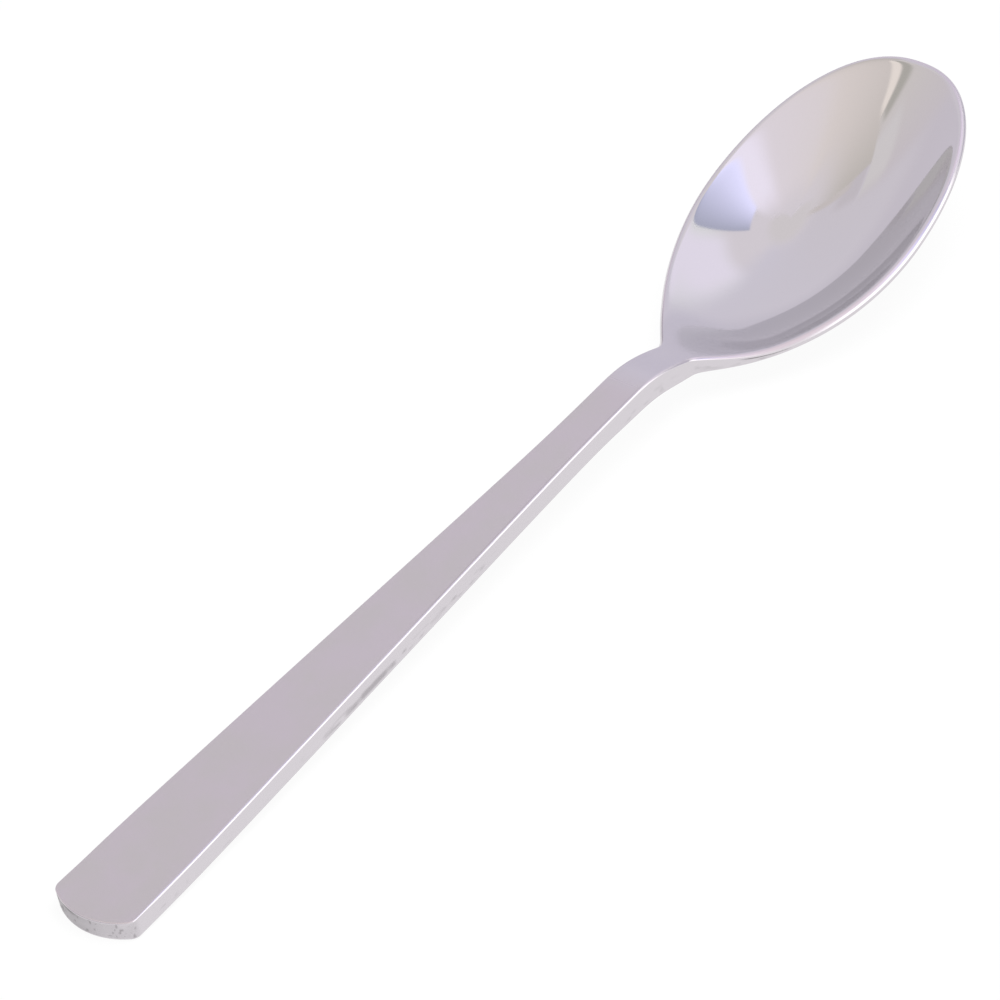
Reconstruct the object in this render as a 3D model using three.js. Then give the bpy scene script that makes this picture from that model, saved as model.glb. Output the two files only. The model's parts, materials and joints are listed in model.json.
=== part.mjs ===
import * as THREE from "three";
import { mergeVertices } from "three/addons/utils/BufferGeometryUtils.js";

// Dessert spoon, in millimetres with +Z up. It lies on z = 0 on its handle end and the belly of its bowl,
// with the handle end at -X, the bowl tip at +X and the middle of its length at x = 0.
// One steel blank runs from end to end. Its three working zones, handle, neck and bowl, are separate solids
// that meet face to face on planes square to X.

// Lengths along the spoon
const LENGTH = 185;
const HEAD_LENGTH = 13; // full-width stretch of the handle, before its taper
const NECK_LENGTH = 16.6; // from the end of the taper to the shoulders
const SHOULDER_LENGTH = 6; // from the neck to the heel of the bowl
const HEEL_LENGTH = 32.8; // from the heel of the bowl to its widest place
const TIP_LENGTH = 27.2; // from the widest place to the tip

// Widths and corners in plan
const HANDLE_WIDTH = 14.9;
const NECK_WIDTH = 6.25;
const BOWL_WIDTH = 38;
const RIM_WIDTH = 1; // flat top of the bowl's rim
const END_RADIUS = 12.5; // arched handle end
const CORNER_RADIUS = 0.9; // between the arched end and the sides
const EDGE_RADIUS = 0.3; // polished edges, top and bottom
const TAPER_EASING = 8; // length over which the taper begins and runs out
const TIP_POWER = 0.446; // roundness of the tip half, 0.5 is an ellipse and less is blunter
const HEEL_POWER = 0.86; // roundness of the heel half, more is more pointed
const SHOULDER_POWER = 3.05; // how tightly the neck runs into the bowl's outline

// Heights
const HANDLE_THICKNESS = 3;
const NECK_THICKNESS = 3.4;
const RIM_THICKNESS = 1.2;
const BOWL_THICKNESS = 1.4; // wall at the middle of the bowl
const BOWL_DEPTH = 8.2; // inside, from the rim at the widest place
const BOWL_POWER = 2; // section of the bowl, 2 is a parabola and more is fuller
const NECK_DROP = 5.86; // how far the top edge falls below the line of the handle
const DROP_LEAD = 11.8; // the fall begins this far before the heel
const DROP_LENGTH = 25.2;
const RIM_SLOPE = 0.246; // rise of the rim towards the tip, for each millimetre along it
const RIM_BEND = 16; // the rise begins this far past the heel
const RIM_EASING = 10; // length over which the rise begins
const THINNING_LENGTH = 19.2; // from the neck's thickness to the rim's
const HOLLOW_LENGTH = 21; // from the flat top of the neck to the full hollow
const BELLY_LENGTH = 14; // from the flat underside of the neck to the full belly

// Finishes
const SATIN_STEEL = { color: 0xbdb7bd, roughness: 0.38, metalness: 1 };
const BRIGHT_STEEL = { color: 0xc2bec6, roughness: 0.26, metalness: 1 };
const MIRROR_STEEL = { color: 0xccc9d0, roughness: 0.08, metalness: 1 };

// How finely the curves are divided
const TAPER_STEPS = 16;
const CORNER_STEPS = 3;
const END_STEPS = 8;
const EDGE_STEPS = 2;
const NECK_STEPS = 10;
const BOWL_STEPS = 40;
const TIP_STEPS = 6;
const HOLLOW_STEPS = 9;
const BELLY_STEPS = 9;
const WELD = 1e-4; // points closer than this become one

// Places along the spoon, from the handle end
const WIDEST = LENGTH - TIP_LENGTH;
const HEEL = WIDEST - HEEL_LENGTH;
const BOWL_START = HEEL - SHOULDER_LENGTH;
const NECK_START = BOWL_START - NECK_LENGTH;

const BELLY_DEPTH = BOWL_DEPTH + BOWL_THICKNESS - RIM_THICKNESS;

// A ramp that is 0 before 0 and climbs one for one after it, with a hyperbola at the bend.
function ramp(distance, easing) {
  return (distance + Math.hypot(distance, easing)) / 2;
}

// A smooth step from 0 to 1 as share goes from 0 to 1.
function step(share) {
  return THREE.MathUtils.smootherstep(share, 0, 1);
}

// Half the width of the handle and neck: full at the head, then an even taper that runs out at the neck.
function stemHalf(u) {
  const taper = (HANDLE_WIDTH - NECK_WIDTH) / 2 / (NECK_START - HEAD_LENGTH);
  const narrowing = ramp(u - HEAD_LENGTH, TAPER_EASING) - ramp(u - NECK_START, TAPER_EASING);
  return HANDLE_WIDTH / 2 - taper * narrowing;
}

// Half the width of the bowl's egg outline: two halves of the form (1 - share squared) to a power,
// drawn in by an inset.
function eggHalf(u, inset) {
  const reach = u > WIDEST ? TIP_LENGTH - inset : HEEL_LENGTH - inset;
  const power = u > WIDEST ? TIP_POWER : HEEL_POWER;
  const share = Math.min(Math.abs(u - WIDEST) / reach, 1);
  return (BOWL_WIDTH / 2 - inset) * (1 - share ** 2) ** power;
}

// Half the width of the whole plan: the neck blended into the bowl's outline, and fading away inside it.
function planHalf(u, inset = 0) {
  const fading = 1 - step((u - HEEL) / HEEL_LENGTH);
  const stem = Math.max(stemHalf(u) - inset, 0) * fading;
  return (stem ** SHOULDER_POWER + eggHalf(u, inset) ** SHOULDER_POWER) ** (1 / SHOULDER_POWER);
}

// Height of the top edge over the line of the handle's top face: level, then the fall, then the rise.
function edgeOverHandle(u) {
  const fall = NECK_DROP * step((u - HEEL + DROP_LEAD) / DROP_LENGTH);
  const bend = HEEL + RIM_BEND;
  const rise = RIM_SLOPE * (ramp(u - bend, RIM_EASING) - ramp(NECK_START - bend, RIM_EASING));
  return u > NECK_START ? rise - fall : 0;
}

// Thickness at the edge: handle, neck, then the thin rim.
function edgeThickness(u) {
  const swell = (NECK_THICKNESS - HANDLE_THICKNESS) * step((u - NECK_START) / NECK_LENGTH);
  const thinning = (NECK_THICKNESS - RIM_THICKNESS) * step((u - BOWL_START) / THINNING_LENGTH);
  return HANDLE_THICKNESS + swell - thinning;
}

function edgeRadius(u) {
  return Math.min(EDGE_RADIUS, planHalf(u) / 2, edgeThickness(u) / 3);
}

// Depth of a dished surface below its outline, from how far a point lies inside that outline.
// Its onset is the length over which it deepens from the neck.
function dish(u, y, outline, fullHalf, depth, onset) {
  const inside = Math.min(Math.max((outline ** 2 - y ** 2) / fullHalf ** 2, 0), 1);
  const pressed = step((u - BOWL_START) / onset);
  return depth * pressed * (1 - (1 - inside) ** (BOWL_POWER / 2));
}

function hollow(u, y) {
  return dish(u, y, planHalf(u, RIM_WIDTH), BOWL_WIDTH / 2 - RIM_WIDTH, BOWL_DEPTH, HOLLOW_LENGTH);
}

function belly(u, y) {
  const outline = planHalf(u) - edgeRadius(u);
  return dish(u, y, outline, BOWL_WIDTH / 2 - EDGE_RADIUS, BELLY_DEPTH, BELLY_LENGTH);
}

// Stations along the bowl: finer at the shoulders and towards the inner tip, then across the rim.
function bowlStations() {
  const innerTip = LENGTH - RIM_WIDTH;
  const stations = [];
  for (let k = 0; k <= BOWL_STEPS; k++) {
    const share = (1 - Math.cos((Math.PI * k) / BOWL_STEPS)) / 2;
    stations.push(BOWL_START + (innerTip - BOWL_START) * share);
  }
  for (let k = 1; k <= TIP_STEPS; k++) {
    stations.push(LENGTH - RIM_WIDTH * (1 - k / TIP_STEPS) ** 2);
  }
  return stations;
}

// The slope at which the handle's straight line rests, with its end and the bowl's belly both on the table.
function restSlope() {
  const slopes = bowlStations().map((u) => {
    const keel = edgeOverHandle(u) - edgeThickness(u) - belly(u, 0);
    return (-keel - HANDLE_THICKNESS) / u;
  });
  return Math.max(...slopes);
}

const REST_SLOPE = restSlope();

// Height of the top edge over the table.
function edgeHeight(u) {
  return HANDLE_THICKNESS + REST_SLOPE * u + edgeOverHandle(u);
}

// A point of the spoon from its place along the spoon, its half breadth and its height.
function at(u, y, z) {
  return new THREE.Vector3(u - LENGTH / 2, y, z);
}

// A closed ring from its right half, which starts and ends on the middle plane.
function mirrored(half) {
  const left = half.slice(1, -1).reverse();
  return [...half, ...left.map((p) => new THREE.Vector3(p.x, -p.y, p.z))];
}

// A flat lid over a mirrored ring, as rungs from its right side to its left.
function lid(first, size) {
  const faces = [];
  for (let k = 0; k < size / 2; k++) {
    const right = [first + k, first + k + 1];
    const left = [first + ((size - k) % size), first + size - k - 1];
    faces.push([right[0], right[1], left[1]], [right[0], left[1], left[0]]);
  }
  return faces;
}

// A closed solid through rings given by their right halves, with lids on the ends that stay open.
function loft(halves, { firstLid, lastLid }) {
  const rings = halves.map(mirrored);
  const size = rings[0].length;
  const faces = [];
  for (let r = 0; r + 1 < rings.length; r++) {
    for (let k = 0; k < size; k++) {
      const a = r * size + k;
      const b = r * size + ((k + 1) % size);
      faces.push([a, b, b + size], [a, b + size, a + size]);
    }
  }
  if (firstLid) faces.push(...lid(0, size).map((face) => face.reverse()));
  if (lastLid) faces.push(...lid((rings.length - 1) * size, size));
  const open = new THREE.BufferGeometry().setFromPoints(rings.flat());
  open.setIndex(faces.flat());
  return outward(withoutSlivers(mergeVertices(open, WELD)));
}

// Triangles that shrank to a line, where a ring closes on itself, are left out.
function withoutSlivers(geometry) {
  const kept = [];
  const index = geometry.getIndex().array;
  for (let k = 0; k < index.length; k += 3) {
    const [a, b, c] = index.slice(k, k + 3);
    if (a !== b && b !== c && c !== a) kept.push(a, b, c);
  }
  geometry.setIndex(kept);
  return geometry;
}

// Faces turned so that the enclosed volume counts as positive.
function outward(geometry) {
  const position = geometry.getAttribute("position");
  const index = geometry.getIndex().array;
  const corners = [new THREE.Vector3(), new THREE.Vector3(), new THREE.Vector3()];
  let volume = 0;
  for (let k = 0; k < index.length; k += 3) {
    corners.forEach((corner, n) => corner.fromBufferAttribute(position, index[k + n]));
    volume += corners[0].dot(corners[1].cross(corners[2])) / 6;
  }
  if (volume < 0) geometry.setIndex(Array.from(index).reverse());
  geometry.computeVertexNormals();
  return geometry;
}

// Points of an arc in plan or section, as pairs, from one angle to another.
function arc(centre, radius, from, to, steps) {
  const points = [];
  for (let k = 0; k <= steps; k++) {
    const angle = from + ((to - from) * k) / steps;
    points.push([centre[0] + radius * Math.cos(angle), centre[1] + radius * Math.sin(angle)]);
  }
  return points;
}

// Right half of the handle's plan, drawn in by an inset, from the neck round to the middle of the arched end.
function handleOutline(inset) {
  const cornerReach = stemHalf(0) - CORNER_RADIUS;
  const cornerPlace = END_RADIUS - Math.sqrt((END_RADIUS - CORNER_RADIUS) ** 2 - cornerReach ** 2);
  const lean = Math.atan2(cornerReach, END_RADIUS - cornerPlace);
  const sides = [[NECK_START, 0]];
  for (let k = 0; k <= TAPER_STEPS; k++) {
    const u = NECK_START + ((cornerPlace - NECK_START) * k) / TAPER_STEPS;
    sides.push([u, stemHalf(u) - inset]);
  }
  const turn = Math.PI - lean;
  const corner = [cornerPlace, cornerReach];
  const cornerArc = arc(corner, CORNER_RADIUS - inset, Math.PI / 2, turn, CORNER_STEPS);
  const endArc = arc([END_RADIUS, 0], END_RADIUS - inset, turn, Math.PI, END_STEPS);
  return [...sides, ...cornerArc.slice(1), ...endArc.slice(1)];
}

// Insets and heights of a slab's outline as its top and bottom edges are rounded.
function roundedLevels(thickness) {
  const top = arc([EDGE_RADIUS, thickness - EDGE_RADIUS], EDGE_RADIUS, Math.PI, Math.PI / 2, EDGE_STEPS);
  const bottom = top.map(([inset, height]) => [inset, thickness - height]).reverse();
  return [...bottom, ...top];
}

function handleGeometry() {
  const levels = roundedLevels(HANDLE_THICKNESS).map(([inset, height]) =>
    handleOutline(inset).map(([u, y]) => at(u, y, REST_SLOPE * u + height)),
  );
  return loft(levels, { firstLid: true, lastLid: true });
}

// Right half of an upright section: the top from the middle out, the rounded edge, the underside back in.
function section(u, hollowSteps, bellySteps) {
  const half = planHalf(u);
  const radius = edgeRadius(u);
  const top = edgeHeight(u);
  const bottom = top - edgeThickness(u);
  const inner = planHalf(u, RIM_WIDTH);
  const points = [];
  for (let k = 0; k <= hollowSteps; k++) {
    const y = inner * Math.sin((Math.PI / 2) * (k / hollowSteps));
    points.push([y, top - hollow(u, y)]);
  }
  points.push(...arc([half - radius, top - radius], radius, Math.PI / 2, 0, EDGE_STEPS));
  points.push(...arc([half - radius, bottom + radius], radius, 0, -Math.PI / 2, EDGE_STEPS));
  for (let k = bellySteps - 1; k >= 0; k--) {
    const y = (half - radius) * Math.sin((Math.PI / 2) * (k / bellySteps));
    points.push([y, bottom - belly(u, y)]);
  }
  return points.map(([y, z]) => at(u, y, z));
}

function neckGeometry() {
  const sections = [];
  for (let k = 0; k <= NECK_STEPS; k++) {
    sections.push(section(NECK_START + (NECK_LENGTH * k) / NECK_STEPS, 1, 1));
  }
  return loft(sections, { firstLid: true, lastLid: true });
}

function bowlGeometry() {
  const sections = bowlStations().map((u) => section(u, HOLLOW_STEPS, BELLY_STEPS));
  return loft(sections, { firstLid: true, lastLid: false });
}

function named(name, geometry, finish) {
  const mesh = new THREE.Mesh(geometry, new THREE.MeshStandardMaterial(finish));
  mesh.name = name;
  return mesh;
}

const spoon = new THREE.Group();
spoon.add(named("handle", handleGeometry(), SATIN_STEEL));
spoon.add(named("neck", neckGeometry(), BRIGHT_STEEL));
spoon.add(named("bowl", bowlGeometry(), MIRROR_STEEL));

export default spoon;
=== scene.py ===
"""Dessert spoon of satin and mirror-polished steel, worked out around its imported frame.

The file is laid out as an add-on. Sizes and colours are properties, each zone of the spoon has an operator
that works its surface out with numpy, and one more operator sets the stage. Run as a script, it makes them in
order. Lengths are in metres. u is the distance from the handle end along the spoon, y the breadth and z the
height.
"""

import json
import math
from functools import partial

import bpy
import numpy as np
from bpy.props import FloatProperty, FloatVectorProperty, PointerProperty
from mathutils import Matrix, Vector


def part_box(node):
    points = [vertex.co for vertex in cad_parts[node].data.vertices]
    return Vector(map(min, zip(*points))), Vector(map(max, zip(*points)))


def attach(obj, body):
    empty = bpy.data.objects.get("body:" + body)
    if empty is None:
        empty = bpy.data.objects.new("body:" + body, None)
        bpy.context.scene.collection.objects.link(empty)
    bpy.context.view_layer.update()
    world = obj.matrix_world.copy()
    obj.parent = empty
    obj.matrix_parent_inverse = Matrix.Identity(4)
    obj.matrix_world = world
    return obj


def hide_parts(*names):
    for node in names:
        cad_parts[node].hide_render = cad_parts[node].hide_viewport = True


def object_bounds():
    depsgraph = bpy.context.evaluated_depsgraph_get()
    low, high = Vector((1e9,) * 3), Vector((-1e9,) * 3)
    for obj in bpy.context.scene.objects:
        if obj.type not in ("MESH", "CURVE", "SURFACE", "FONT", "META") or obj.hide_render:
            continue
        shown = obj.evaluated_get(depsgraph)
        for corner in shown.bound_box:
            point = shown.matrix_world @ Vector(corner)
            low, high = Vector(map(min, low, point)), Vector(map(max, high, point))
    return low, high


bl_info = {
    "name": "Dessert Spoon",
    "version": (1, 0, 0),
    "blender": (4, 5, 0),
    "location": "View3D > Sidebar > Spoon",
    "description": "Makes a steel dessert spoon around its packed frame, and a stage for it",
    "category": "Add Mesh",
}

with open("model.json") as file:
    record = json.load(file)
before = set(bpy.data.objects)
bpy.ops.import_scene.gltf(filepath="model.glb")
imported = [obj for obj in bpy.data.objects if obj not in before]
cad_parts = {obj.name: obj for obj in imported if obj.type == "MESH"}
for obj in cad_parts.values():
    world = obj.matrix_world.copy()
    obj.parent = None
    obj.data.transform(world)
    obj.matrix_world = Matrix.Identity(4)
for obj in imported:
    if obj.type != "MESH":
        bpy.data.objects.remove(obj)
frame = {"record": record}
CAD_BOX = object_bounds()

MM = 0.001
BODY = "root"

# Camera and picture
IMAGE_PIXELS = 1000
SENSOR_WIDTH = 36.0  # millimetres, Blender's own unit for a camera
AIM = Vector((-1.914, 2.79, 6.161)) * MM  # the point at the middle of the picture

# How finely the surfaces are divided: rows on the way round the section, then places along the outline
BAR_ROWS = {"over": 10, "rim": 3, "edge": 8, "side": 16, "foot": 4, "beneath": 8}
BOWL_ROWS = {"over": 60, "rim": 4, "edge": 8, "side": 8, "foot": 4, "beneath": 36}
HANDLE_STEPS = {"side": 400, "corner": 12, "end": 48}
NECK_STEPS = 90
BOWL_STEPS = {"heel": 190, "tip": 110}
HANDLE_SPINE_END = 7 * MM  # the fan of rows round the arched end spreads from here
BOWL_SPINE_END = 172 * MM
SHARP_DEGREES = 50

# Kinds of marks on the side of the blank: usual length along the side, and how many go into its height
NOISE_PERIOD = 256  # the noise repeats after this many marks
TEAR_LENGTH = 6 * MM
PIT_LENGTH = 0.5 * MM
PATCHES = {"length": TEAR_LENGTH, "rows": 1.5, "seed": 7}
STREAKS = {"length": TEAR_LENGTH / 5, "rows": 6, "seed": 8}
PITS = {"length": PIT_LENGTH, "rows": 5, "seed": 9}
BLOTCHES = {"length": 4 * PIT_LENGTH, "rows": 2, "seed": 10}

# The face of the arched end, left being towards +Y: painted shade over it, and real pits and chips
END_DEPTH = (2.4 * MM, 3.84 * MM)  # the face goes over into the sides between these
# painted shade over the whole end face
END_PAINTED_SHADE = 0.3
LEFT_PAINTED_SHADE = 0.24  # painted shade, added on the left and taken away on the right
LEFT_STRETCH = (0, 6 * MM)  # from the middle plane
BLOTCH_DULLNESS = 0.1
PIT_LEVELS = (0.75, 0.9)  # noise at which a pit begins and is full
PIT_DULLNESS = 0.3
CHIP_LEVELS = (0.45, 0.7)  # noise of the blotches at which a chip begins and is full
CHIP_BAND = (0, 0.4)  # shares of the way down between which the chips run out
CHIP_STRETCH = (0, 3 * MM)  # from the middle plane to the left, where they begin
CHIP_DULLNESS = 0.35

# Marks of the shearing along the sides, and painted shade lines beside the bevel and under the rim. Shares
# are of the way down the side, and a pair of stretches says where a mark begins and where it ends.
PATCH_WEIGHT = 0.55
STREAK_WEIGHT = 0.45
TEAR_PLACES = {52 * MM: 0.22, 121 * MM: 0.28}  # where it is more torn, on the -Y side, and by how much
TEAR_SPREAD = 8 * MM
TEAR_LEVELS = (0.66, 0.96)  # noise at which the tearing begins and is full
TEAR_DARKNESS = 0.36
TORN_BAND = ((0.4, 0.65), (0.8, 0.95))  # shares
PAINTED_RIM_SHADE = ((130.5 * MM, 132.5 * MM), (136 * MM, 137 * MM))  # painted dark line under the rim's edge, on the -Y side, standing in for a dark reflection
PAINTED_RIM_SHADE_SHARE = 0.1
PAINTED_RIM_SHADE_BREADTH = 0.13
PAINTED_EDGE_SHADE = ((64 * MM, 76 * MM), (112 * MM, 120 * MM))  # painted dark line beside the bevel's highlight, on the -Y side, standing in for a dark band in its reflection
PAINTED_EDGE_SHADE_DARKNESS = 0.25
EDGE_FADE = (2.5 * MM, 9 * MM)  # the polished edge begins here, past the corners of the arched end
TORN_ROUGHNESS = 0.5

# Patterns of the finishes
CLOUD_SIZE = 8 * MM  # soft clouds that a polishing belt leaves
CLOUD_LEVELS = (0.38, 0.64)  # noise at which a cloud begins and is full
CLOUD_STRENGTH = 0.8
BRIGHT_ONSET = 10 * MM  # past the start of the neck, where satin begins to pass into bright steel
MIRROR_STRETCH = (2 * MM, 28 * MM)  # past the start of the bowl, where bright steel passes into the mirror
GRAIN_WIDTH = 0.22 * MM  # a satin belt's lines, about 0.05 mm, drawn coarser so that they show
GRAIN_LENGTH = 6 * MM
GRAIN_HEIGHT = 0.0003 * MM
WAVE_SIZE = 6 * MM  # slow waves that buffing leaves in a mirror
WAVE_HEIGHT = 0.006 * MM

# Stage
FLOOR_SIZE = 12.0
FLOOR_GAP = 0.05 * MM
FLOOR_GLOW = 0.93  # share of the floor's look that is plain white, the rest takes the shadow
ROOM_LIGHT = 0.6
LAMP_POWER = 12.0
LAMP_SIZE = 0.9
LAMP_PLACE = Vector((0.25, -0.35, 1.1))
BOWL_MIDDLE = Vector((65, 0, 8)) * MM
CARD_DISTANCE = 0.95
CARD_SPACING = 0.02
CARD_STEPS = 64


def seam_place(node):
    """Distance from the handle end at which a node of the frame begins."""
    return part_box(node)[0].x - CAD_BOX[0].x


def rest_slope():
    """Slope of the handle's straight line, from the axis of the flat face on its top."""
    top = next(mount for mount in frame["record"]["mounts"] if mount["name"] == "handle_top")
    return -top["axis"][0] / top["axis"][2]


def linear(hex_colour):
    """Linear red, green and blue of an sRGB hex colour."""
    shares = [int(hex_colour[k:k + 2], 16) / 255 for k in (1, 3, 5)]
    return tuple(c / 12.92 if c <= 0.04045 else ((c + 0.055) / 1.055) ** 2.4 for c in shares)


def length(name, description, millimetres):
    """A length property whose default is given in millimetres."""
    return FloatProperty(
        name=name, description=description, default=millimetres * MM, min=0.0, unit="LENGTH", precision=5
    )


def number(name, description, default, low=0.0, high=10.0):
    """A plain number property."""
    return FloatProperty(name=name, description=description, default=default, min=low, max=high, precision=4)


def angle(name, description, degrees):
    """An angle property whose default is given in degrees."""
    return FloatProperty(name=name, description=description, default=math.radians(degrees), subtype="ANGLE")


def colour(name, description, hex_colour):
    """A colour property whose default is an sRGB hex colour."""
    default = linear(hex_colour)
    return FloatVectorProperty(
        name=name, description=description, default=default, size=3, min=0.0, max=1.0, subtype="COLOR"
    )


class SpoonSizes(bpy.types.PropertyGroup):
    """Sizes of the solids, with finer edges, a wider bevel on the rim and rounder corners at the end."""

    head_length: length("Head", "Full-width stretch of the handle, before its taper", 13)
    heel_length: length("Heel", "From the heel of the bowl to its widest place", 32.8)
    tip_length: length("Tip", "From the widest place of the bowl to its tip", 27.2)
    handle_width: length("Handle width", "Width of the handle at its end", 14.9)
    neck_width: length("Neck width", "Width where the taper ends", 6.25)
    bowl_width: length("Bowl width", "Width of the bowl at its widest place", 38)
    rim_width: length("Rim width", "Flat top of the rim, from the outline to the hollow", 1)
    end_radius: length("End radius", "Arch of the handle end", 12.5)
    corner_radius: length("Corner radius", "Corners between the arched end and the sides", 1.6)
    edge_radius: length("Edge radius", "Polished upper edge of handle and neck", 0.3)
    rim_radius: length("Rim radius", "Polished upper edge of the bowl's rim", 0.74)
    edge_fullness: number("Edge fullness", "1 is a round edge, 0 a straight bevel", 0.4, high=1.0)
    foot_radius: length("Foot radius", "Lower edge all round", 0.15)
    rim_fillet: length("Rim fillet", "Rounding from the rim into the hollow", 0.4)
    taper_easing: length("Taper easing", "Length over which the taper begins and runs out", 8)
    tip_power: number("Tip power", "Roundness of the tip half, 0.5 is an ellipse and less is blunter", 0.446)
    heel_power: number("Heel power", "Roundness of the heel half, more is more pointed", 0.86)
    shoulder_power: number("Shoulder power", "How tightly the neck runs into the bowl's outline", 3.05)
    handle_thickness: length("Handle thickness", "Thickness of the flat stock", 3)
    neck_thickness: length("Neck thickness", "Thickness at the shoulders", 3.4)
    rim_thickness: length("Rim thickness", "Thickness at the bowl's edge", 1.2)
    bowl_thickness: length("Bowl thickness", "Wall at the middle of the bowl", 1.4)
    bowl_depth: length("Bowl depth", "Depth of the hollow at the widest place", 8.2)
    bowl_power: number("Bowl power", "Section of the hollow, 2 is a parabola and more is fuller", 2.0)
    neck_drop: length("Neck drop", "Fall of the top edge below the line of the handle", 5.86)
    drop_lead: length("Drop lead", "The fall begins this far before the heel", 11.8)
    drop_length: length("Drop length", "Length of the fall", 25.2)
    rim_slope: number("Rim slope", "Rise of the rim towards the tip, against the handle", 0.246)
    rim_bend: length("Rim bend", "The rise begins this far past the heel", 16)
    rim_easing: length("Rim easing", "Length over which the rise begins", 10)
    thinning_length: length("Thinning length", "From the neck's thickness to the rim's", 19.2)
    hollow_length: length("Hollow length", "From the flat top of the neck to the full hollow", 21)
    belly_length: length("Belly length", "From the flat underside of the neck to the full belly", 14)
    torn_depth: length("Torn depth", "Relief of the torn part of the sheared side", 0.03)


class SpoonFinish(bpy.types.PropertyGroup):
    """Colours and polish of the steel."""

    # satin is set darker than sheared: the flat faces' darker look is painted shade, standing in for the
    # darker part of the room they reflect
    satin: colour("Satin", "Flat faces of the handle, polished with a fine belt", "#CCC8CA")
    satin_warm: colour("Satin, warm cast", "Faint warm clouds in the satin", "#C9C8C5")
    bright: colour("Bright", "Neck, between satin and mirror", "#D1D0D4")
    sheared: colour("Sheared", "Sides of the blank, smooth from the shear", "#D5D0D5")
    mirror: colour("Mirror", "Bowl, buffed to a mirror", "#D4D4D5")
    # The torn colour also paints the dark shade lines beside the bevel and under the rim, and the shade on
    # the end face.
    torn: colour("Torn", "Torn steel and folds", "#4E4A4B")
    satin_roughness: number("Satin roughness", "Roughness of the handle's flat faces", 0.33, high=1.0)
    bright_roughness: number("Bright roughness", "Roughness of the sides and of the heel", 0.2, high=1.0)
    mirror_roughness: number("Mirror roughness", "Roughness of the bowl", 0.05, high=1.0)


class SpoonStudio(bpy.types.PropertyGroup):
    """Camera and floor."""

    bearing: angle("Bearing", "Direction from the spoon to the camera, from +X towards +Y", -129.853)
    elevation: angle("Elevation", "Height of the camera above the horizon", 38.265)
    roll: angle("Roll", "Turn of the picture about the line of sight", -14.397)
    distance: length("Distance", "From the camera to the point it looks at", 1109.7)
    focal_pixels: number("Focal length", "Distance of the picture plane, in its pixels", 8000, high=1e5)
    floor_colour: colour("Floor", "Plain pale floor", "#F4F4F4")


def ramp(distance, easing):
    """0 before 0 and climbing one for one after it, with a hyperbola at the bend."""
    return (distance + np.hypot(distance, easing)) / 2


def step(share):
    """Smooth step from 0 to 1, 6 s^5 - 15 s^4 + 10 s^3."""
    s = np.clip(share, 0, 1)
    return s * s * s * (s * (6 * s - 15) + 10)


def passing(place, stretch):
    """Smooth step from 0 to 1 between the two ends of a stretch."""
    return step((place - stretch[0]) / (stretch[1] - stretch[0]))


def between(place, begins, ends):
    """1 between two stretches, with a smooth step over each of them."""
    return passing(place, begins) * (1 - passing(place, ends))


def rising(value, levels):
    """0 below the first level, 1 above the second, and even between them."""
    return np.clip((value - levels[0]) / (levels[1] - levels[0]), 0, 1)


def eased(start, corner, end, fullness, count):
    """Points of a conic from start to end, tangent to the legs of a corner, with a weight at the corner.

    At a right angle, a fullness of 1 gives a quarter circle and 0 a straight bevel. Start, corner and end are
    pairs, and the points come back as two arrays with one row for each point."""
    t = np.linspace(0, 1, count)[:, None]
    weights = ((1 - t) ** 2, math.sqrt(2) * fullness * t * (1 - t), t ** 2)
    total = sum(weights)
    return [sum(w * p[axis] for w, p in zip(weights, (start, corner, end))) / total for axis in (0, 1)]


def lattice_noise(a, b, seed):
    """Smooth noise from 0 to 1: random values on the whole numbers of a and b, blended by cubic steps."""
    table = np.random.default_rng(seed).random((NOISE_PERIOD, NOISE_PERIOD))
    i = np.floor(a).astype(int)
    j = np.floor(b).astype(int)
    s = (a - i) ** 2 * (3 - 2 * (a - i))
    t = (b - j) ** 2 * (3 - 2 * (b - j))

    def value(di, dj):
        return table[(i + di) % NOISE_PERIOD, (j + dj) % NOISE_PERIOD]

    near = value(0, 0) * (1 - s) + value(1, 0) * s
    far = value(0, 1) * (1 - s) + value(1, 1) * s
    return near * (1 - t) + far * t


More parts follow.
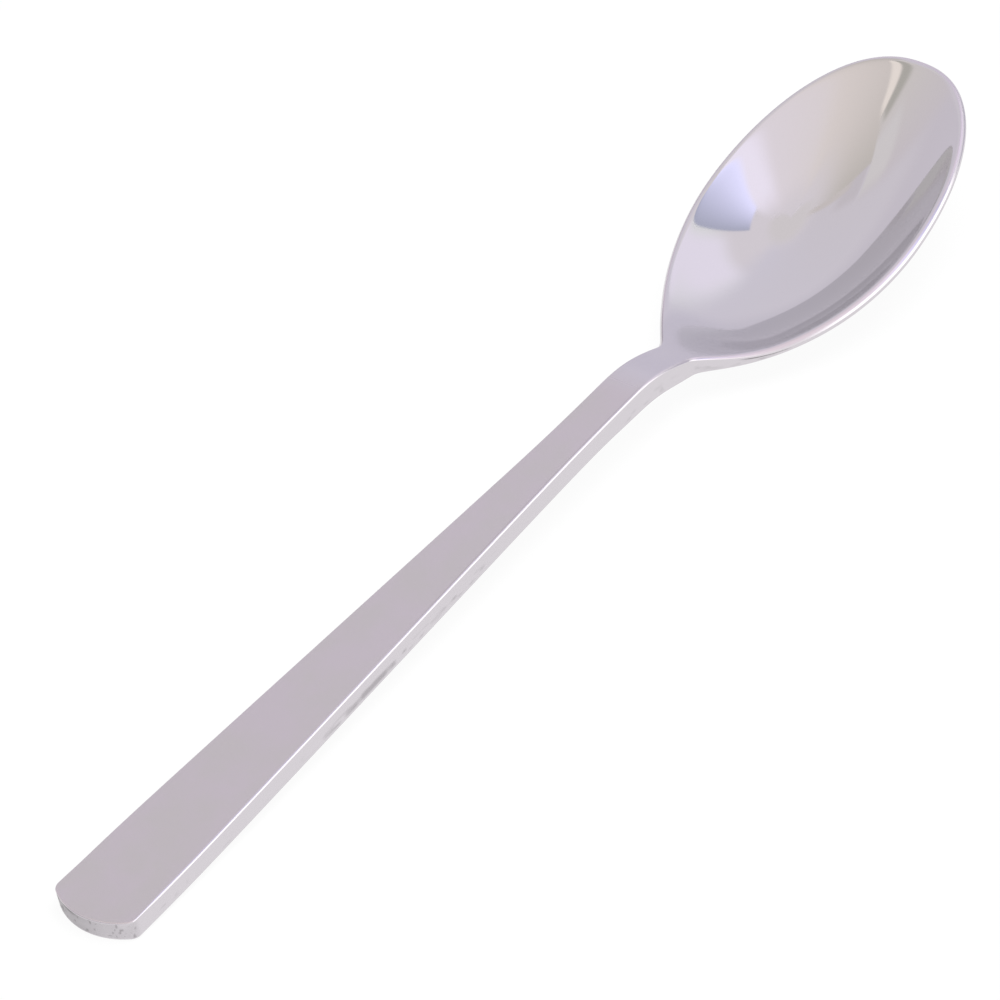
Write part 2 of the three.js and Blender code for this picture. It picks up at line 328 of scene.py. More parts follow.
class Form:
    """The spoon's outline, heights and hollows as functions of arrays u and y."""

    def __init__(self, sizes):
        self.s = sizes
        self.total = CAD_BOX[1].x - CAD_BOX[0].x
        self.slope = rest_slope()
        self.neck_start = seam_place("neck")
        self.bowl_start = seam_place("bowl")
        self.widest = self.total - sizes.tip_length
        self.heel = self.widest - sizes.heel_length

    def stem_half(self, u):
        """Half width of handle and neck: full at the head, then an even taper that runs out at the neck."""
        s = self.s
        taper = (s.handle_width - s.neck_width) / 2 / (self.neck_start - s.head_length)
        narrowing = ramp(u - s.head_length, s.taper_easing) - ramp(u - self.neck_start, s.taper_easing)
        return s.handle_width / 2 - taper * narrowing

    def egg_half(self, u, inset):
        """Half width of the bowl: two halves of the form (1 - share^2)^power, drawn in by an inset."""
        s = self.s
        tipward = u > self.widest
        reach = np.where(tipward, s.tip_length, s.heel_length) - inset
        power = np.where(tipward, s.tip_power, s.heel_power)
        share = np.minimum(np.abs(u - self.widest) / reach, 1)
        return (s.bowl_width / 2 - inset) * (1 - share ** 2) ** power

    def plan_half(self, u, inset=0.0):
        """Half width of the plan: the neck blended into the bowl's outline, and fading away inside it."""
        s = self.s
        stem = np.maximum(self.stem_half(u) - inset, 0) * (1 - step((u - self.heel) / s.heel_length))
        egg = self.egg_half(u, inset)
        return (stem ** s.shoulder_power + egg ** s.shoulder_power) ** (1 / s.shoulder_power)

    def edge_height(self, u):
        """Height of the top edge over the table: the handle's line, the fall, then the rise of the rim."""
        s = self.s
        bend = self.heel + s.rim_bend
        fall = s.neck_drop * step((u - self.heel + s.drop_lead) / s.drop_length)
        rise = s.rim_slope * (ramp(u - bend, s.rim_easing) - ramp(self.neck_start - bend, s.rim_easing))
        return s.handle_thickness + self.slope * u + np.where(u > self.neck_start, rise - fall, 0)

    def edge_thickness(self, u):
        """Thickness at the edge: handle, neck, then the thin rim."""
        s = self.s
        swollen = step((u - self.neck_start) / (self.bowl_start - self.neck_start))
        thinned = step((u - self.bowl_start) / s.thinning_length)
        swell = (s.neck_thickness - s.handle_thickness) * swollen
        return s.handle_thickness + swell - (s.neck_thickness - s.rim_thickness) * thinned

    def edge_size(self, u):
        """Size of the upper edge: as sheared at the arched end, then polished along the bar and the rim."""
        s = self.s
        polished = (s.edge_radius - s.foot_radius) * passing(u, EDGE_FADE)
        opened = (s.rim_radius - s.edge_radius) * step((u - self.bowl_start) / s.thinning_length)
        return s.foot_radius + polished + opened

    def dish(self, u, y, inset, depth, onset, fillet):
        """Depth of a dished face: depth (1 - (1 - q)^(power / 2)), with q = (outline^2 - y^2) / half width^2.

        It deepens from the neck over its onset, and its edge is rounded by easing q at 0."""
        s = self.s
        full = s.bowl_width / 2 - inset
        q = (self.plan_half(u, inset) ** 2 - y ** 2) / full ** 2
        q = np.clip(ramp(q, 2 * fillet / full), 0, 1)
        return depth * step((u - self.bowl_start) / onset) * (1 - (1 - q) ** (s.bowl_power / 2))

    def top(self, u, y):
        """Height of the upper face."""
        s = self.s
        return self.edge_height(u) - self.dish(u, y, s.rim_width, s.bowl_depth, s.hollow_length, s.rim_fillet)

    def under(self, u, y):
        """Height of the lower face."""
        s = self.s
        depth = s.bowl_depth + s.bowl_thickness - s.rim_thickness
        return self.edge_height(u) - self.edge_thickness(u) - self.dish(u, y, 0.0, depth, s.belly_length, 0.0)

    def bowl_outline(self):
        """Outline of the bowl as a function of an inset: along u to the widest place, then by angle."""
        s = self.s
        heelward = np.linspace(self.bowl_start, self.widest, BOWL_STEPS["heel"] + 1)
        turn = np.linspace(0, math.pi / 2, BOWL_STEPS["tip"] + 1)[1:]

        def outline(inset):
            inset = np.broadcast_to(inset, (len(inset), len(heelward) + len(turn)))
            tipward = self.widest + (s.tip_length - inset[:, len(heelward):]) * np.sin(turn)
            u = np.concatenate([np.broadcast_to(heelward, (len(inset), len(heelward))), tipward], 1)
            y = self.plan_half(u, inset)
            y[:, -1] = 0
            return u, y

        return outline

    def neck_outline(self):
        """Outline of the neck as a function of an inset."""
        along = np.linspace(self.neck_start, self.bowl_start, NECK_STEPS + 1)

        def outline(inset):
            u = np.broadcast_to(along, (len(inset), len(along)))
            return u, self.plan_half(u, inset)

        return outline

    def handle_outline(self):
        """Outline of the handle as a function of an inset: side from the neck, corner, arched end."""
        s = self.s
        reach = self.stem_half(0.0) - s.corner_radius
        place = s.end_radius - math.sqrt((s.end_radius - s.corner_radius) ** 2 - reach ** 2)
        turn = math.pi - math.atan2(reach, s.end_radius - place)
        side = np.linspace(self.neck_start, place, HANDLE_STEPS["side"] + 1)
        corner = np.linspace(math.pi / 2, turn, HANDLE_STEPS["corner"] + 1)[1:]
        end = np.linspace(turn, math.pi, HANDLE_STEPS["end"] + 1)[1:]

        def outline(inset):
            inset = np.broadcast_to(inset, (len(inset), len(side) + len(corner) + len(end)))
            beside, small, large = np.split(inset, (len(side), len(side) + len(corner)), 1)
            flat = np.broadcast_to(side, beside.shape)
            small = s.corner_radius - small
            large = s.end_radius - large
            u = [flat, place + small * np.cos(corner), s.end_radius + large * np.cos(end)]
            y = [self.stem_half(flat) - beside, reach + small * np.sin(corner), large * np.sin(end)]
            u = np.concatenate(u, 1)
            y = np.concatenate(y, 1)
            y[:, -1] = 0
            return u, y

        return outline


def tear_and_shade(u, y, share, side):
    """How torn the sheared side is, with painted shade added in, 0 to 1, share being 0 at the top of the side
    and 1 at its bottom.

    Along the sides it is smooth noise above a level, inside the torn band, thickest round two places, and one
    dark line painted under the rim's edge as shade. The face of the arched end is painted darker all over as
    shade, more so to its left, with a few pits and chips."""
    around = side * (u + y)

    def noise(kind):
        return lattice_noise(around / kind["length"], share * kind["rows"], kind["seed"])

    gathered = sum(more * np.exp(-((u - place) / TEAR_SPREAD) ** 2) for place, more in TEAR_PLACES.items())
    level = PATCH_WEIGHT * noise(PATCHES) + STREAK_WEIGHT * noise(STREAKS) + gathered * (side < 0)
    sides = TEAR_DARKNESS * rising(level, TEAR_LEVELS) * between(share, *TORN_BAND)
    # painted shade: a dark line under the rim's edge on the -Y side
    painted_rim_shade = between(u, *PAINTED_RIM_SHADE) * (side < 0)
    sides = np.maximum(sides, painted_rim_shade * np.exp(-((share - PAINTED_RIM_SHADE_SHARE) / PAINTED_RIM_SHADE_BREADTH) ** 2))

    on_end = 1 - passing(u, END_DEPTH)
    blotches = noise(BLOTCHES)
    pits = rising(noise(PITS), PIT_LEVELS)
    chips = rising(blotches, CHIP_LEVELS) * (1 - passing(share, CHIP_BAND)) * passing(side * y, CHIP_STRETCH)
    # painted shade on the end face, darker to the left, then the real blotches, pits and chips
    face = END_PAINTED_SHADE + LEFT_PAINTED_SHADE * side * rising(y, LEFT_STRETCH)
    face = face + BLOTCH_DULLNESS * blotches + PIT_DULLNESS * pits + CHIP_DULLNESS * chips
    return sides * (1 - on_end) + face * on_end


def half_grid(form, outline, spine_end, rows, side):
    """Half of a zone as a grid of points: a column for each place on the outline, and rows round the section.

    The rows go from the spine on top over the rim, the edge, the side and the lower edge to the spine
    beneath. side is -1 for the half towards -Y and 1 for the other. Returns the points, how torn each of them
    is with the painted shade lines added, and whether it lies on a flat face that the satin belt reached,
    which is painted darker as shade."""
    s = form.s
    none = np.zeros((1, 1))
    line_u, line_y = outline(none)
    lip_u, lip_y = outline(none + s.rim_width)
    foot_u, foot_y = outline(none + s.foot_radius)
    spine = np.linspace(lip_u[0, 0], spine_end, lip_u.shape[1])
    radius = form.edge_size(line_u)

    out = np.sin(np.linspace(0, math.pi / 2, rows["over"] + 1))[:, None]
    outward = np.linspace(0, 1, rows["rim"] + 1)[1:, None]
    flat_u, flat_y = outline(s.rim_width + (radius - s.rim_width) * outward)
    top_u = np.concatenate([spine + (lip_u - spine) * out, flat_u])
    top_y = np.concatenate([lip_y * out, flat_y])
    top_z = form.top(top_u, top_y)

    inset, fall = eased((radius, 0.0), (0.0, 0.0), (0.0, radius), s.edge_fullness, rows["edge"] + 1)
    edge_u, edge_y = outline(inset[1:])
    dip = form.edge_height(top_u[-1:]) - top_z[-1:]
    edge_z = form.edge_height(edge_u) - fall[1:] - dip * inset[1:] / radius

    share = np.linspace(0, 1, rows["side"] + 1)[1:-1, None]
    depth = form.edge_thickness(line_u)
    torn = tear_and_shade(line_u, line_y, share, side)
    lean = torn * s.torn_depth / s.foot_radius
    side_u = line_u + (foot_u - line_u) * lean
    side_y = line_y + (foot_y - line_y) * lean
    side_z = form.edge_height(line_u) - radius - (depth - radius - s.foot_radius) * share

    start = (0.0, depth - s.foot_radius)
    end = (s.foot_radius, form.edge_height(foot_u) - form.under(foot_u, foot_y))
    inset, fall = eased(start, (0.0, depth), end, 1.0, rows["foot"] + 1)
    low_u, low_y = outline(inset)
    low_z = form.edge_height(low_u) - fall

    back = np.cos(np.linspace(0, math.pi / 2, rows["beneath"] + 1))[1:, None]
    back[-1] = 0
    under_u = spine + (foot_u - spine) * back
    under_y = foot_y * back
    under_z = form.under(under_u, under_y)

    u = np.concatenate([top_u, edge_u, side_u, low_u, under_u])
    y = np.concatenate([top_y, edge_y, side_y, low_y, under_y])
    z = np.concatenate([top_z, edge_z, side_z, low_z, under_z])
    marks = np.zeros_like(u)
    first = len(top_u) + len(edge_u)
    marks[first:first + len(side_u)] = torn
    # painted shade: a dark line on the last row of the top, beside the bevel
    marks[len(top_u) - 1] = PAINTED_EDGE_SHADE_DARKNESS * between(u[0], *PAINTED_EDGE_SHADE) * (side < 0)
    # flat faces get the satin colour, which is painted darker than the sides as shade
    flats = np.zeros_like(u)
    flats[:len(top_u)] = 1
    flats[-len(under_u):] = 1
    return np.stack([u + CAD_BOX[0].x, side * y, z], -1), marks, flats


def strips(index):
    """Quads of a grid of vertex numbers."""
    corners = index[:-1, :-1], index[:-1, 1:], index[1:, 1:], index[1:, :-1]
    return np.stack([corner.ravel() for corner in corners], -1)


def closed_mesh(name, form, outline, spine_end, rows, far_lid):
    """Mesh of a zone: both halves, welded in the plane of symmetry, with lids on the cut ends.

    Points in the plane of symmetry belong to both halves. A lid is one flat face."""
    right, right_marks, flats = half_grid(form, outline, spine_end, rows, -1)
    left, left_marks, flats = half_grid(form, outline, spine_end, rows, 1)
    points = np.concatenate([right.reshape(-1, 3), left.reshape(-1, 3)])
    marks = np.concatenate([right_marks.ravel(), left_marks.ravel()])
    flats = np.tile(flats.ravel(), 2)
    right_index = np.arange(right_marks.size).reshape(right_marks.shape)
    left_index = right_index + right_marks.size
    left_index[[0, -1]] = right_index[[0, -1]]
    if not far_lid:
        left_index[:, -1] = right_index[:, -1]

    quads = np.concatenate([strips(right_index), strips(left_index)[:, ::-1]])
    lids = [np.concatenate([right_index[:, 0], left_index[-2:0:-1, 0]])]
    if far_lid:
        lids.append(np.concatenate([left_index[:, -1], right_index[-2:0:-1, -1]]))
    used = np.unique(quads)
    faces = np.searchsorted(used, quads).tolist() + [np.searchsorted(used, lid).tolist() for lid in lids]
    towards_tip = right[0, -1, 0] > right[0, 0, 0]
    turn = -1 if towards_tip else 1  # a grid that runs towards the tip has its faces inside out
    mesh = bpy.data.meshes.new(name)
    mesh.from_pydata(points[used], [], [list(dict.fromkeys(face[::turn])) for face in faces])
    mesh.attributes.new("torn", "FLOAT", "POINT").data.foreach_set("value", marks[used])
    mesh.attributes.new("flat", "FLOAT", "POINT").data.foreach_set("value", flats[used])
    mesh.shade_smooth()
    mesh.set_sharp_from_angle(angle=math.radians(SHARP_DEGREES))
    if mesh.validate():
        raise RuntimeError(name + " has faces that Blender had to mend")
    return mesh


def add_piece(name, mesh, node, material):
    """A finished piece: it rides on the spoon's one body and stands for a node of the frame."""
    piece = bpy.data.objects.new(name, mesh)
    bpy.context.scene.collection.objects.link(piece)
    mesh.materials.append(material)
    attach(piece, BODY)
    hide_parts(node)


def add(tree, kind, sockets=None, **settings):
    """Adds a node, sets its settings, and gives each named or numbered socket a value or a link."""
    node = tree.nodes.new(kind)
    for name, value in settings.items():
        setattr(node, name, value)
    for key, value in (sockets or {}).items():
        if isinstance(value, bpy.types.NodeSocket):
            tree.links.new(value, node.inputs[key])
        else:
            node.inputs[key].default_value = value
    return node


def new_material(name):
    """An empty node material and its tree."""
    material = bpy.data.materials.new(name)
    material.use_nodes = True
    material.node_tree.nodes.clear()
    return material, material.node_tree


def opaque(rgb):
    """A colour with its alpha."""
    return (*rgb, 1.0)


def steel(name, finish, colours, polish, along, clouds, grain):
    """Polished stainless steel whose colour and roughness pass from one finish to the next along X.

    It is a bare metal, so what it gives the eye is the room: blurred by the satin's fine lines, sharp in the
    mirror, with soft clouds of warmer and cooler grey on the flat faces, brighter sides, and a dull broken
    band where the sheared side is torn. The flat faces are painted a darker colour than the sides as shade,
    and the torn colour also paints dark shade lines beside the bevel and under the rim, and shade on the face
    of the arched end. colours, polish, clouds and grain are pairs: the values of the flat faces at the start
    and end of the stretch. along is where it starts and ends."""
    material, tree = new_material(name)
    place = add(tree, "ShaderNodeTexCoord").outputs["Object"]
    x = add(tree, "ShaderNodeSeparateXYZ", {"Vector": place}).outputs["X"]
    stretch = {"Value": x, "From Min": along[0], "From Max": along[1]}
    share = add(tree, "ShaderNodeMapRange", stretch, interpolation_type="SMOOTHSTEP").outputs["Result"]
    torn = add(tree, "ShaderNodeAttribute", attribute_name="torn").outputs["Fac"]
    flat = add(tree, "ShaderNodeAttribute", attribute_name="flat").outputs["Fac"]

    mixed = {0: share, 6: opaque(colours[0]), 7: opaque(colours[1])}
    base = add(tree, "ShaderNodeMix", mixed, data_type="RGBA").outputs[2]
    noise = {"Vector": place, "Scale": 1 / CLOUD_SIZE, "Detail": 3.0, "Roughness": 0.6}
    cloud = add(tree, "ShaderNodeTexNoise", noise).outputs["Fac"]
    fading = {"Value": share, "To Min": clouds[0], "To Max": clouds[1]}
    strength = add(tree, "ShaderNodeMapRange", fading).outputs["Result"]
    shown = {"Value": cloud, "From Min": CLOUD_LEVELS[0], "From Max": CLOUD_LEVELS[1], "To Max": strength}
    warmth = add(tree, "ShaderNodeMapRange", shown).outputs["Result"]
    mixed = {0: warmth, 6: base, 7: opaque(finish.satin_warm)}
    clouded = add(tree, "ShaderNodeMix", mixed, data_type="RGBA").outputs[2]
    # painted shade: flat faces take the darker satin colour, the sides the lighter sheared one
    mixed = {0: flat, 6: opaque(finish.sheared), 7: clouded}
    whole = add(tree, "ShaderNodeMix", mixed, data_type="RGBA").outputs[2]
    # torn steel, and the painted shade lines and end-face shade, in one dark colour
    mixed = {0: torn, 6: whole, 7: opaque(finish.torn)}
    tinted = add(tree, "ShaderNodeMix", mixed, data_type="RGBA").outputs[2]

    range_of_polish = {"Value": share, "To Min": polish[0], "To Max": polish[1]}
    smooth = add(tree, "ShaderNodeMapRange", range_of_polish).outputs["Result"]
    mixed = {0: flat, 2: finish.bright_roughness, 3: smooth}
    polished = add(tree, "ShaderNodeMix", mixed, data_type="FLOAT").outputs[0]
    mixed = {0: torn, 2: polished, 3: TORN_ROUGHNESS}
    roughness = add(tree, "ShaderNodeMix", mixed, data_type="FLOAT").outputs[0]

    noise = {"Vector": place, "Scale": 1 / WAVE_SIZE, "Detail": 0.0}
    wave_noise = add(tree, "ShaderNodeTexNoise", noise).outputs["Fac"]
    bump = {"Height": wave_noise, "Strength": 1.0, "Distance": WAVE_HEIGHT}
    waves = add(tree, "ShaderNodeBump", bump).outputs["Normal"]
    scale = {"Vector": place, "Scale": (1 / GRAIN_LENGTH, 1 / GRAIN_WIDTH, 1 / GRAIN_WIDTH)}
    lines = add(tree, "ShaderNodeMapping", scale).outputs["Vector"]
    noise = {"Vector": lines, "Scale": 1.0, "Detail": 2.0}
    line_noise = add(tree, "ShaderNodeTexNoise", noise).outputs["Fac"]
    fading = {"Value": share, "To Min": grain[0], "To Max": grain[1]}
    height = add(tree, "ShaderNodeMapRange", fading).outputs["Result"]
    bump = {"Height": line_noise, "Normal": waves, "Strength": 1.0, "Distance": height}
    relief = add(tree, "ShaderNodeBump", bump).outputs["Normal"]

    metal = {"Base Color": tinted, "Metallic": 1.0, "Roughness": roughness, "Normal": relief}
    shader = add(tree, "ShaderNodeBsdfPrincipled", metal).outputs["BSDF"]
    add(tree, "ShaderNodeOutputMaterial", {"Surface": shader})
    return material


class SPOON_OT_handle(bpy.types.Operator):
    """Flat tapered stem with an arched end, sheared from the sheet and finished with a satin belt"""

    bl_idname = "spoon.handle"
    bl_label = "Handle"

    def execute(self, context):
        form = Form(context.scene.spoon_sizes)
        finish = context.scene.spoon_finish
        mesh = closed_mesh("handle_bar", form, form.handle_outline(), HANDLE_SPINE_END, BAR_ROWS, False)
        seam = CAD_BOX[0].x + form.neck_start
        material = steel(
            "satin-belted stainless steel",
            finish,
            (finish.satin, finish.satin),
            (finish.satin_roughness, finish.satin_roughness),
            (CAD_BOX[0].x, seam),
            (CLOUD_STRENGTH, CLOUD_STRENGTH),
            (GRAIN_HEIGHT, GRAIN_HEIGHT),
        )
        add_piece("handle_bar", mesh, "handle", material)
        return {"FINISHED"}


class SPOON_OT_neck(bpy.types.Operator):
    """Narrow forged stretch that dips from the handle to the bowl"""

    bl_idname = "spoon.neck"
    bl_label = "Neck"

    def execute(self, context):
        form = Form(context.scene.spoon_sizes)
        finish = context.scene.spoon_finish
        mesh = closed_mesh("neck_bar", form, form.neck_outline(), form.bowl_start, BAR_ROWS, True)
        seam = CAD_BOX[0].x + form.neck_start
        material = steel(
            "bright-polished stainless steel",
            finish,
            (finish.satin, finish.bright),
            (finish.satin_roughness, finish.bright_roughness),
            (seam + BRIGHT_ONSET, CAD_BOX[0].x + form.bowl_start),
            (CLOUD_STRENGTH, 0.0),
            (GRAIN_HEIGHT, 0.0),
        )
        add_piece("neck_bar", mesh, "neck", material)
        return {"FINISHED"}


class SPOON_OT_bowl(bpy.types.Operator):
    """Pressed egg-shaped scoop, buffed to a mirror"""

    bl_idname = "spoon.bowl"
    bl_label = "Bowl"

    def execute(self, context):
        form = Form(context.scene.spoon_sizes)
        finish = context.scene.spoon_finish
        mesh = closed_mesh("bowl_shell", form, form.bowl_outline(), BOWL_SPINE_END, BOWL_ROWS, False)
        seam = CAD_BOX[0].x + form.bowl_start
        material = steel(
            "mirror-buffed stainless steel",
            finish,
            (finish.bright, finish.mirror),
            (finish.bright_roughness, finish.mirror_roughness),
            (seam + MIRROR_STRETCH[0], seam + MIRROR_STRETCH[1]),
            (0.0, 0.0),
            (0.0, 0.0),
        )
        add_piece("bowl_shell", mesh, "bowl", material)
        return {"FINISHED"}


def seen_directly(tree):
    """1 for rays from the camera and for mirrored and refracted ones, 0 for the light on other things."""
    path = add(tree, "ShaderNodeLightPath").outputs
    either = {0: path["Is Camera Ray"], 1: path["Is Glossy Ray"]}
    first = add(tree, "ShaderNodeMath", either, operation="MAXIMUM").outputs["Value"]
    either = {0: first, 1: path["Is Transmission Ray"]}
    return add(tree, "ShaderNodeMath", either, operation="MAXIMUM").outputs["Value"]


def direction(bearing, elevation):
    """Unit vector towards a bearing, from +X towards +Y, and an elevation, both in radians."""
    flat = math.cos(elevation)
    return Vector((flat * math.cos(bearing), flat * math.sin(bearing), math.sin(elevation)))


def card_material():
    """Soft-edged glow whose colour and cover are in the card's own attribute."""
    material, tree = new_material("studio card")
    glow = add(tree, "ShaderNodeAttribute", attribute_name="glow").outputs
    light = add(tree, "ShaderNodeEmission", {"Color": glow["Color"], "Strength": 1.0}).outputs["Emission"]
    clear = add(tree, "ShaderNodeBsdfTransparent").outputs["BSDF"]
    shown = add(tree, "ShaderNodeMixShader", {0: glow["Alpha"], 1: clear, 2: light}).outputs["Shader"]
    add(tree, "ShaderNodeOutputMaterial", {"Surface": shown})
    return material


def fade(share, soft):
    """0 at the edge of a card and 1 past its soft share. Without softness the card ends sharply there."""
    return step(share / soft) if soft else np.ones_like(share)


def add_card(material, name, layer, low, high, elevations, soft, first, last, haste=1.0):
    """A curved card round the bowl that shows only in the steel: a patch of a sphere.

    low and high are the bearings of its sides at its lower and upper elevation, in degrees. The cover falls
    off over a soft share of the card at each side, in the order of bearings then elevations. The glow goes
    from the colour first to the colour last with the bearing, and a haste over 1 makes it change early. A
    higher layer lies nearer the bowl."""
    share = np.linspace(0, 1, CARD_STEPS + 1)
    across, up = np.meshgrid(share, share)
    cover = fade(across, soft[0]) * fade(1 - across, soft[1]) * fade(up, soft[2]) * fade(1 - up, soft[3])
    mix = 1 - (1 - across[..., None]) ** haste
    glow = np.array(first) + (np.array(last) - np.array(first)) * mix
    start = low[0] + (high[0] - low[0]) * up
    end = low[1] + (high[1] - low[1]) * up
    bearing = np.radians(start + (end - start) * across)
    elevation = np.radians(elevations[0] + (elevations[1] - elevations[0]) * up)
    flat = np.cos(elevation)
    way = np.stack([flat * np.cos(bearing), flat * np.sin(bearing), np.sin(elevation)], -1)
    points = np.array(BOWL_MIDDLE) + (CARD_DISTANCE - layer * CARD_SPACING) * way

    mesh = bpy.data.meshes.new(name)
    mesh.from_pydata(points.reshape(-1, 3), [], strips(np.arange(across.size).reshape(across.shape)).tolist())
    glows = np.concatenate([glow, cover[..., None]], -1)
    mesh.attributes.new("glow", "FLOAT_COLOR", "POINT").data.foreach_set("color", glows.ravel())
    mesh.materials.append(material)
    card = bpy.data.objects.new(name, mesh)
    card.visible_camera = False
    card.visible_diffuse = False
    card.visible_shadow = False
    bpy.context.scene.collection.objects.link(card)


class SPOON_OT_stage(bpy.types.Operator):
    """Pale floor, white room, soft lamp, cards for the steel to reflect, and the camera"""

    bl_idname = "spoon.stage"
    bl_label = "Stage"

    def execute(self, context):
        scene = context.scene
        self.camera(scene, scene.spoon_studio)
        self.world(scene)
        self.floor(scene, scene.spoon_studio)
        self.lamp(scene)
        self.cards()
        scene.view_settings.view_transform = "Standard"
        return {"FINISHED"}

    def camera(self, scene, studio):
        """Camera on its bearing, turned about its line of sight."""
        data = bpy.data.cameras.new("camera")
        data.sensor_width = SENSOR_WIDTH
        data.lens = studio.focal_pixels * SENSOR_WIDTH / IMAGE_PIXELS
        data.clip_start = 0.01
        data.clip_end = 100.0
        camera = bpy.data.objects.new("camera", data)
        scene.collection.objects.link(camera)
        back = direction(studio.bearing, studio.elevation)
        upright = (-back).to_track_quat("-Z", "Y").to_matrix().to_4x4()
        roll = Matrix.Rotation(studio.roll, 4, "Z")
        camera.matrix_world = Matrix.Translation(AIM + back * studio.distance) @ upright @ roll
        scene.camera = camera

    def world(self, scene):
        """White room: strength 1 where it is seen, less where it only lights the floor."""
        world = bpy.data.worlds.new("white room")
        scene.world = world
        world.use_nodes = True
        tree = world.node_tree
        tree.nodes.clear()
        levels = {"Value": seen_directly(tree), "To Min": ROOM_LIGHT, "To Max": 1.0}
        strength = add(tree, "ShaderNodeMapRange", levels).outputs["Result"]
        white = {"Color": opaque((1, 1, 1)), "Strength": strength}
        light = add(tree, "ShaderNodeBackground", white).outputs["Background"]
        add(tree, "ShaderNodeOutputWorld", {"Surface": light})

    def floor(self, scene, studio):
        """Pale floor that keeps a faint shadow: a white glow over a plain matt surface."""
        mesh = bpy.data.meshes.new("floor")
        half = FLOOR_SIZE / 2
        corners = [(-half, -half, -FLOOR_GAP), (half, -half, -FLOOR_GAP), (half, half, -FLOOR_GAP)]
        mesh.from_pydata([*corners, (-half, half, -FLOOR_GAP)], [], [(0, 1, 2, 3)])
        floor = bpy.data.objects.new("floor", mesh)
        scene.collection.objects.link(floor)
        material, tree = new_material("matt white floor")
        share = {0: seen_directly(tree), 1: FLOOR_GLOW}
        glowing = add(tree, "ShaderNodeMath", share, operation="MULTIPLY").outputs["Value"]
        matt = add(tree, "ShaderNodeBsdfDiffuse", {"Color": opaque(studio.floor_colour)}).outputs["BSDF"]
        glow = {"Color": opaque((1, 1, 1)), "Strength": 1.0}
        white = add(tree, "ShaderNodeEmission", glow).outputs["Emission"]
        shown = add(tree, "ShaderNodeMixShader", {0: glowing, 1: matt, 2: white}).outputs["Shader"]
        add(tree, "ShaderNodeOutputMaterial", {"Surface": shown})
        mesh.materials.append(material)

    def lamp(self, scene):
        """One large soft lamp, which makes the floor's soft shadow and isn't seen in the steel."""
        data = bpy.data.lights.new("overhead lamp", "AREA")
        data.shape = "DISK"
        data.size = LAMP_SIZE
        data.energy = LAMP_POWER
        lamp = bpy.data.objects.new("overhead lamp", data)
        lamp.location = LAMP_PLACE
        lamp.rotation_euler = (LAMP_PLACE - BOWL_MIDDLE).to_track_quat("Z", "Y").to_euler()
        lamp.visible_glossy = False
        scene.collection.objects.link(lamp)

    def cards(self):
        """What the steel reflects, by where it lies round the bowl."""
        card = partial(add_card, card_material())
        zenith = (0.95, 0.88, 0.94)
        card("overhead", 0, (-180, 180), (-180, 180), (48, 90), (0, 0, 0.4, 0), zenith, zenith)
        rose = (1.00, 0.91, 0.89)
        lilac = (1.07, 0.98, 1.08)
        card("rose wall", 1, (170, 290), (170, 290), (28, 89), (0.2, 0.25, 0.2, 0.27), rose, lilac)
        shade = (0.70, 0.65, 0.61)
        warm = (1.01, 0.91, 0.88)
        card("warm wall", 2, (110, 215), (110, 215), (28, 89), (0, 0.35, 0.2, 0.45), shade, warm, 1.8)
        cool = (0.88, 0.83, 0.95)
        grey = (0.85, 0.79, 0.85)
        card("far wall", 3, (-20, 119), (-20, 119), (0, 89), (0.33, 0.012, 0, 0.2), cool, grey)
        pale = (1.10, 1.02, 1.17)
        card("pale wall", 4, (-50, 22), (-50, 22), (26, 66), (0.25, 0.45, 0.55, 0.3), pale, pale)
        low_cool = (0.79, 0.75, 0.87)
        low_grey = (0.81, 0.74, 0.80)
        card("low far wall", 4, (-10, 135), (-10, 135), (0, 36), (0.2, 0.1, 0, 0.55), low_cool, low_grey)
        end_warm = (0.86, 0.80, 0.78)
        card("far wall end", 5, (96, 139), (96, 139), (0, 54), (0.3, 0.04, 0, 0.05), low_grey, end_warm)
        streak = (0.78, 0.72, 0.77)
        card("cool streak", 5, (98, 119), (98, 119), (54, 70), (0.5, 0.05, 0.1, 0.5), streak, streak)
        light = (0.89, 0.84, 0.85)
        card("light streak", 6, (98, 134), (98, 134), (40, 54), (0.35, 0.3, 0.4, 0.06), light, light)
        white = (1.8, 1.8, 1.8)
        card("near strip", 3, (-122, -42), (-122, -42), (3, 50), (0.12, 0.1, 0.1, 0.15), white, white)
        violet = (1.22, 1.13, 1.29)
        card("bright strip", 4, (-112, -74), (-110, -64), (48, 84), (0.5, 0.3, 0.1, 0.5), violet, violet)
        blue = (1.27, 1.24, 1.68)
        dusk = (0.54, 0.55, 0.70)
        card("blue wall", 6, (-101, -43.5), (-78, -47), (46, 71.5), (0.2, 0.04, 0.03, 0.06), blue, dusk)
        corner = (0.66, 0.64, 0.73)
        card("near corner", 5, (-44, 8), (-44, 8), (0, 30), (0.12, 0.3, 0.05, 0.3), corner, corner)
        black = (0.45, 0.43, 0.47)
        card("dark strip", 6, (46, 80), (46, 80), (-1, 15), (0.2, 0.2, 0, 0.4), black, black)
        dark = (0.60, 0.57, 0.53)
        card("leaf shade", 7, (133, 147), (131, 140), (34, 53), (0.5, 0.3, 0.2, 0.2), dark, dark)
        cream = (1.14, 1.03, 0.96)
        card("leaf", 8, (143, 163), (137, 143), (36, 54), (0.25, 0.5, 0.2, 0.2), cream, cream)
        behind = (0.62, 0.58, 0.63)
        card("behind", 6, (126, 205), (126, 205), (-1, 29), (0.1, 0.3, 0, 0.25), behind, behind)
        brown = (0.81, 0.74, 0.73)
        card("wall corner", 7, (113, 119), (104, 119), (58, 85), (0.5, 0.1, 0.25, 0.2), brown, brown)
        beam = (0.90, 0.84, 0.86)
        card("ceiling beam", 9, (-58, 130), (-120, 192), (76, 90), (0.1, 0.1, 0.6, 0), beam, beam)


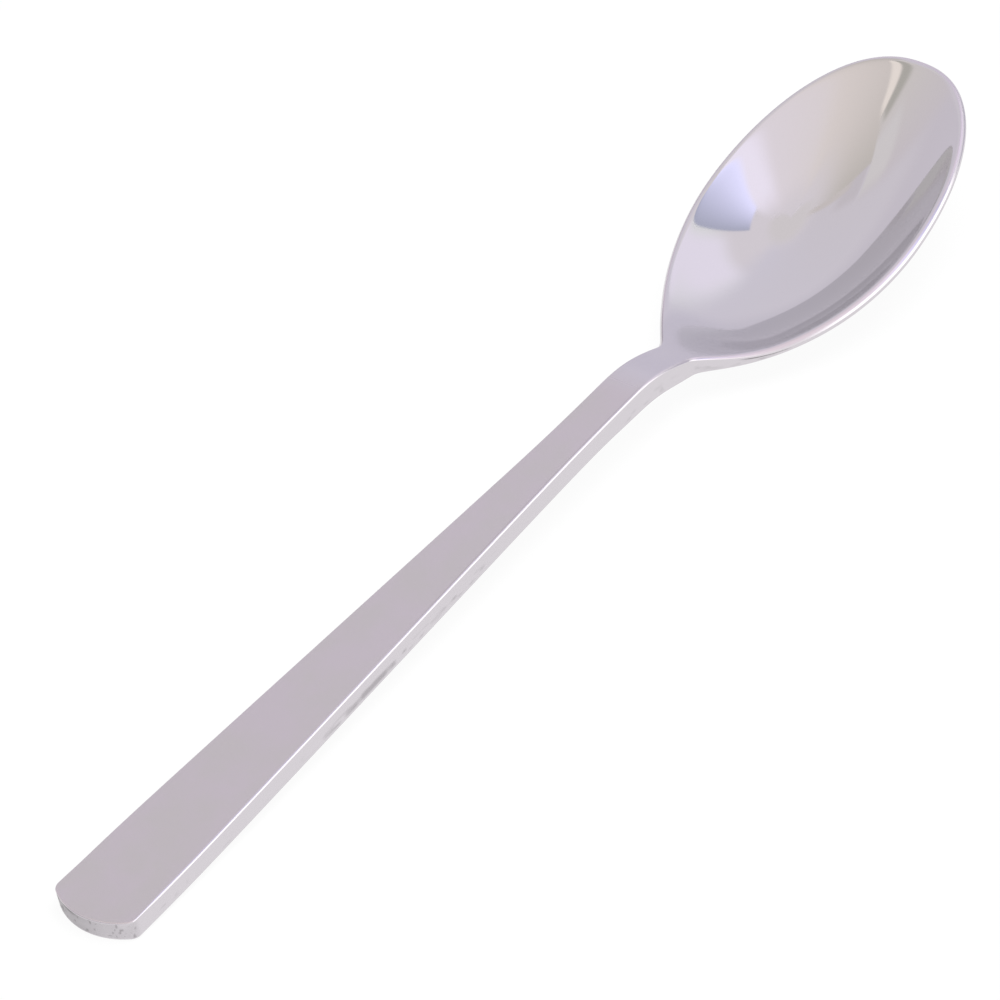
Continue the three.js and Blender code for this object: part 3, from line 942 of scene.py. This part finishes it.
class SPOON_PT_panel(bpy.types.Panel):
    """The spoon's operators, in the order in which they run"""

    bl_idname = "SPOON_PT_panel"
    bl_label = "Dessert Spoon"
    bl_space_type = "VIEW_3D"
    bl_region_type = "UI"
    bl_category = "Spoon"

    def draw(self, context):
        for operator in OPERATORS:
            self.layout.operator(operator.bl_idname)


OPERATORS = (SPOON_OT_handle, SPOON_OT_neck, SPOON_OT_bowl, SPOON_OT_stage)
GROUPS = {"spoon_sizes": SpoonSizes, "spoon_finish": SpoonFinish, "spoon_studio": SpoonStudio}
CLASSES = (*GROUPS.values(), *OPERATORS, SPOON_PT_panel)


def register():
    for kind in CLASSES:
        bpy.utils.register_class(kind)
    for name, group in GROUPS.items():
        setattr(bpy.types.Scene, name, PointerProperty(type=group))


def unregister():
    for name in GROUPS:
        delattr(bpy.types.Scene, name)
    for kind in reversed(CLASSES):
        bpy.utils.unregister_class(kind)


def main():
    register()
    bpy.ops.spoon.handle()
    bpy.ops.spoon.neck()
    bpy.ops.spoon.bowl()
    bpy.ops.spoon.stage()


if __name__ == "__main__":
    main()
